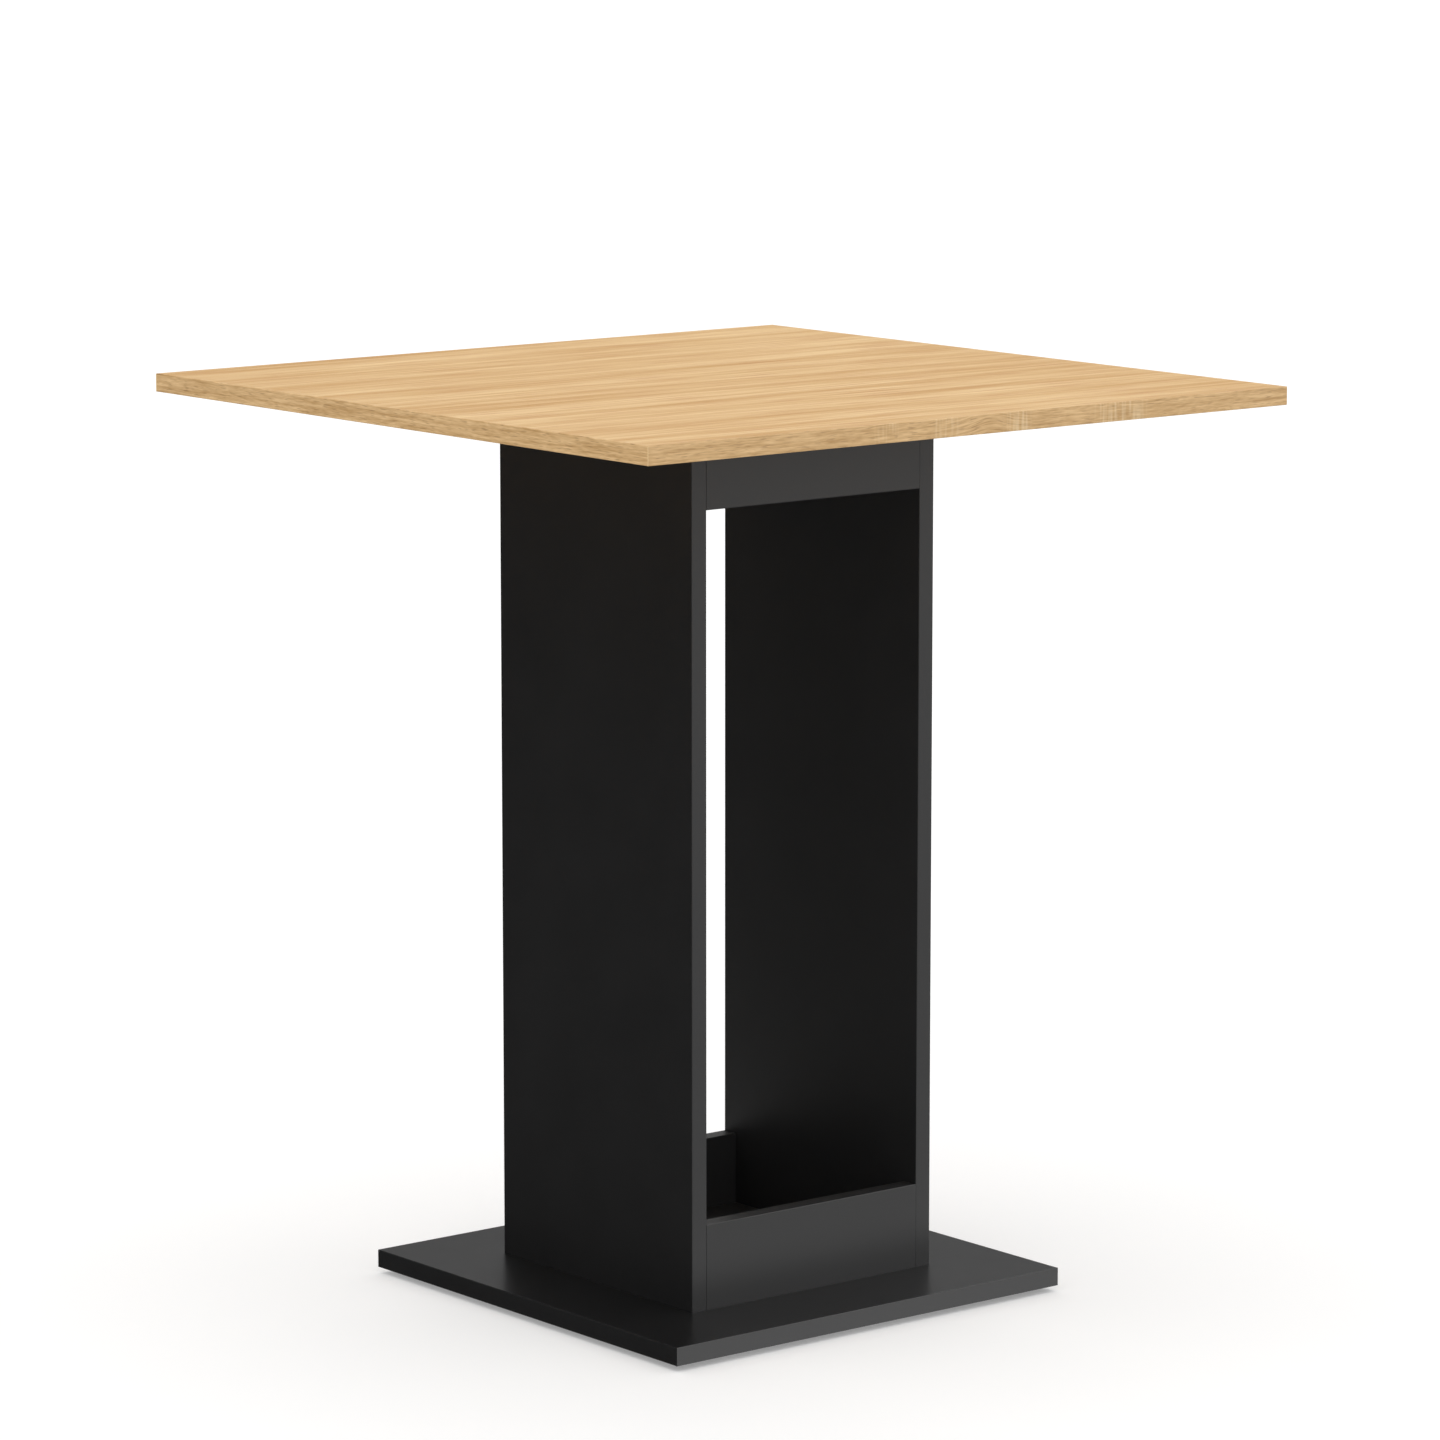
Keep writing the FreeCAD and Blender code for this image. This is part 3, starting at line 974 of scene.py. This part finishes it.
@dataclass(frozen=True)
class Glides:
    """Moulded plastic glides with a rounded sole, and the grooved nails that hold them."""

    draft: float = 0.35 * MM
    seat_edge: float = 0.2 * MM
    rounding: float = 1.6 * MM
    crown: float = 0.25 * MM
    arc_steps: int = 9
    sole_steps: int = 7
    glide_sides: int = 64
    groove_pitch: float = 1.2 * MM
    groove_depth: float = 0.18 * MM
    nail_point: float = 3.0 * MM
    nail_tip: float = 0.03  # of the shank's radius
    nail_rings: int = 97
    nail_sides: int = 24
    steel: BareMetal = CamFittings.steel
    # a plain, even satin with no coat over it
    plastic: BlackCoat = BlackCoat(
        "moulded_glide_plastic",
        deep="#1B1B1C",
        light="#252526",
        pearl_mm=0.9,
        pearl_height_mm=0.012,
        cloud_mm=12.0,
        roughness=0.5,
        coat=0.0,
    )

    def build(self) -> None:
        """Makes the four glides and their nails."""
        low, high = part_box("base_glides")
        glide = Shell.turned(*self.glide_outline(high.z - low.z, self.radius("base_glides"))).upright(-1)
        glides = glide.at(corner_seats("base_glides", high.z)).to_object("glides")
        fit(glides, self.plastic, "base_glides")
        low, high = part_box("glide_nails")
        nail = Shell.turned(*self.nail_outline(high.z - low.z, self.radius("glide_nails"))).upright(1)
        nails = nail.at(corner_seats("glide_nails", low.z)).to_object("nails")
        fit(nails, self.steel, "glide_nails")

    def radius(self, node: str) -> float:
        """Half the width of one piece of a CAD node."""
        near, far = node_reach(node)
        return float(far[0] - near[0]) / 2

    def glide_outline(self, height: float, radius: float) -> tuple[Points, Points]:
        """The glide along X from its seat: a drafted side, a quarter round and a crowned sole.

        The quarter round is x = rim - r + r sin(a), radius = foot - r + r cos(a). The sole falls back
        from the full height by the crown times the square of its share of the sole's radius.

        Args:
            height: the height of the glide.
            radius: its radius at the seat.

        Returns:
            The place of each ring, and its radius at each side.
        """
        quarter = np.linspace(0, math.pi / 2, self.arc_steps)
        share = np.linspace(1, 0, self.sole_steps, endpoint=False)[1:]
        foot = radius - self.draft
        rim = height - self.crown
        along = [
            np.array([0.0, self.seat_edge]),
            rim - self.rounding + self.rounding * np.sin(quarter),
            height - self.crown * share**2,
        ]
        profile = [
            np.array([radius - self.seat_edge, radius]),
            foot - self.rounding + self.rounding * np.cos(quarter),
            (foot - self.rounding) * share,
        ]
        return np.concatenate(along), np.repeat(np.concatenate(profile)[:, None], self.glide_sides, axis=1)

    def nail_outline(self, length: float, radius: float) -> tuple[Points, Points]:
        """The nail along X from the glide: a shank with saw-tooth grooves and a point.

        The radius is the shank's, less the groove depth times the phase of x / pitch, and it falls to
        almost nothing over the point.

        Args:
            length: the length of the nail.
            radius: the shank's radius.

        Returns:
            The place of each ring, and its radius at each side.
        """
        along = np.linspace(0, length, self.nail_rings)
        groove = self.groove_depth * np.mod(along / self.groove_pitch, 1.0)
        point = np.clip((length - along) / self.nail_point, self.nail_tip, 1.0)
        return along, np.repeat(((radius - groove) * point)[:, None], self.nail_sides, axis=1)


# Studio


@dataclass(frozen=True)
class Card:
    """A studio card that shows only in the table's mirror images.

    It is a profile of distance and height, carried along a square about the table's middle, which keeps
    clear of the base plate: the square's point at the angle a is (cos a, sin a) / max(|cos a|, |sin a|).
    There is one point to a degree, so that the corners are met.
    """

    name: str
    start_deg: int
    end_deg: int
    profile: tuple[tuple[float, float], ...]
    face: CardFace

    def build(self) -> None:
        """Makes the card, hidden from the camera and from stray light."""
        angle = np.radians(np.arange(self.start_deg, self.end_deg + 1))[:, None]
        around = np.concatenate([np.cos(angle), np.sin(angle)], axis=1)
        around /= np.abs(around).max(axis=1, keepdims=True)
        away, height = np.array(self.profile).T
        parts = np.broadcast_arrays(around[:, :1] * away, around[:, 1:] * away, height)
        card = Shell.sheet(np.stack(parts, axis=-1)).to_object(self.name)
        card.data.materials.append(self.face.material())
        card.visible_camera = False
        card.visible_diffuse = False
        card.visible_transmission = False
        card.visible_shadow = False
        log.info("%s: stage", self.name)


@dataclass(frozen=True)
class Studio:
    """A pale floor, a soft light from above and all round, cards for the mirror images, and the camera."""

    floor_reach: float = 40.0
    dome: float = 0.84  # strength of the stray light from all round
    overhead: float = 0.94  # of the lamp, in watts per square metre
    overhead_width_deg: float = 90.0
    # the camera, as fitted to the table's straight edges in the photograph
    azimuth_deg: float = -38.85
    elevation_deg: float = 9.31
    target: tuple[float, float, float] = (-0.0080, -0.0152, 0.4742)
    distance: float = 4.941
    focal_px: float = 6081.2
    image_px: float = 1440.0
    sensor_mm: float = 36.0
    paper: StudioPaper = StudioPaper("pale_seamless_paper")
    beside_base: float = 0.201  # from the table's middle to just past the base plate
    on_floor: float = 0.002  # height of a card that lies on the floor
    cards: tuple[Card, ...] = (
        Card(
            "left_flag",
            start_deg=95,
            end_deg=225,
            profile=((beside_base, on_floor), (2.2, on_floor), (2.2, 7.0)),
            face=CardFace("dark_felt", "#3A3A3A"),
        ),
        Card(
            "back_flag",
            start_deg=-5,
            end_deg=95,
            profile=((1.8, on_floor), (2.2, on_floor), (2.2, 2.2)),
            face=CardFace("grey_felt", "#9C9C9C"),
        ),
        Card(
            "front_flag",
            start_deg=-135,
            end_deg=-10,
            profile=((0.35, on_floor), (5.0, on_floor)),
            face=CardFace("pale_felt", "#ACACAC"),
        ),
        Card(
            "front_card",
            start_deg=-105,
            end_deg=-5,
            profile=((15.0, 2.1), (15.0, 14.0)),
            face=CardFace("lit_cloth", glow=1.55),
        ),
        Card(
            "foot_card",
            start_deg=-135,
            end_deg=-40,
            profile=((beside_base, on_floor), (0.34, on_floor)),
            face=CardFace("lit_card", glow=1.15),
        ),
    )

    def build(self) -> None:
        """Makes the floor, the light, the cards and the camera."""
        self.build_floor()
        self.build_light()
        for card in self.cards:
            card.build()
        self.build_camera()
        bpy.context.scene.view_settings.view_transform = "Standard"

    def build_floor(self) -> None:
        """Lays the floor below the table."""
        edge = np.array([-self.floor_reach, self.floor_reach])
        x, y = np.meshgrid(edge, edge, indexing="ij")
        floor = Shell.sheet(np.stack([x, y, np.zeros_like(x)], axis=-1)).to_object("floor")
        floor.data.materials.append(self.paper.material())
        log.info("floor: stage")

    def build_light(self) -> None:
        """Lights the table with an even dome and a wide soft lamp overhead."""
        world = bpy.data.worlds.new("studio")
        world.use_nodes = True
        tree = world.node_tree
        stray = tree.nodes["Background"]
        stray.inputs["Color"].default_value = linear(WHITE)
        stray.inputs["Strength"].default_value = self.dome
        white = add(tree, "Background", {"Color": linear(WHITE), "Strength": 1.0})
        either = {0: seen_directly(tree), 1: stray.outputs[0], 2: white.outputs[0]}
        shown = add(tree, "MixShader", either).outputs[0]
        tree.links.new(shown, tree.nodes["World Output"].inputs["Surface"])
        bpy.context.scene.world = world
        lamp = bpy.data.lights.new("overhead_light", "SUN")
        lamp.energy = self.overhead
        lamp.angle = math.radians(self.overhead_width_deg)
        bpy.context.scene.collection.objects.link(bpy.data.objects.new(lamp.name, lamp))
        log.info("%s: lamp", lamp.name)

    def build_camera(self) -> None:
        """Puts the camera where the photograph was taken."""
        azimuth = math.radians(self.azimuth_deg)
        elevation = math.radians(self.elevation_deg)
        level = math.cos(elevation)
        back = Vector((math.sin(azimuth) * level, -math.cos(azimuth) * level, math.sin(elevation)))
        lens = bpy.data.cameras.new("camera")
        lens.sensor_width = self.sensor_mm
        lens.lens = self.focal_px / self.image_px * self.sensor_mm
        camera = bpy.data.objects.new("camera", lens)
        camera.location = Vector(self.target) + back * self.distance
        camera.rotation_mode = "QUATERNION"
        camera.rotation_quaternion = (-back).to_track_quat("-Z", "Y")
        bpy.context.scene.collection.objects.link(camera)
        bpy.context.scene.camera = camera
        log.info("camera: %.1f mm lens", lens.lens)


def main() -> None:
    """Builds every sub-assembly and the studio."""
    logging.basicConfig(level=logging.INFO, format="%(name)s: %(message)s")
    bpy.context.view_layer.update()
    for part in (TopAssembly(), Column(), BasePlate(), CamFittings(), BaseScrews(), Glides(), Studio()):
        part.build()


if __name__ == "__main__":
    main()
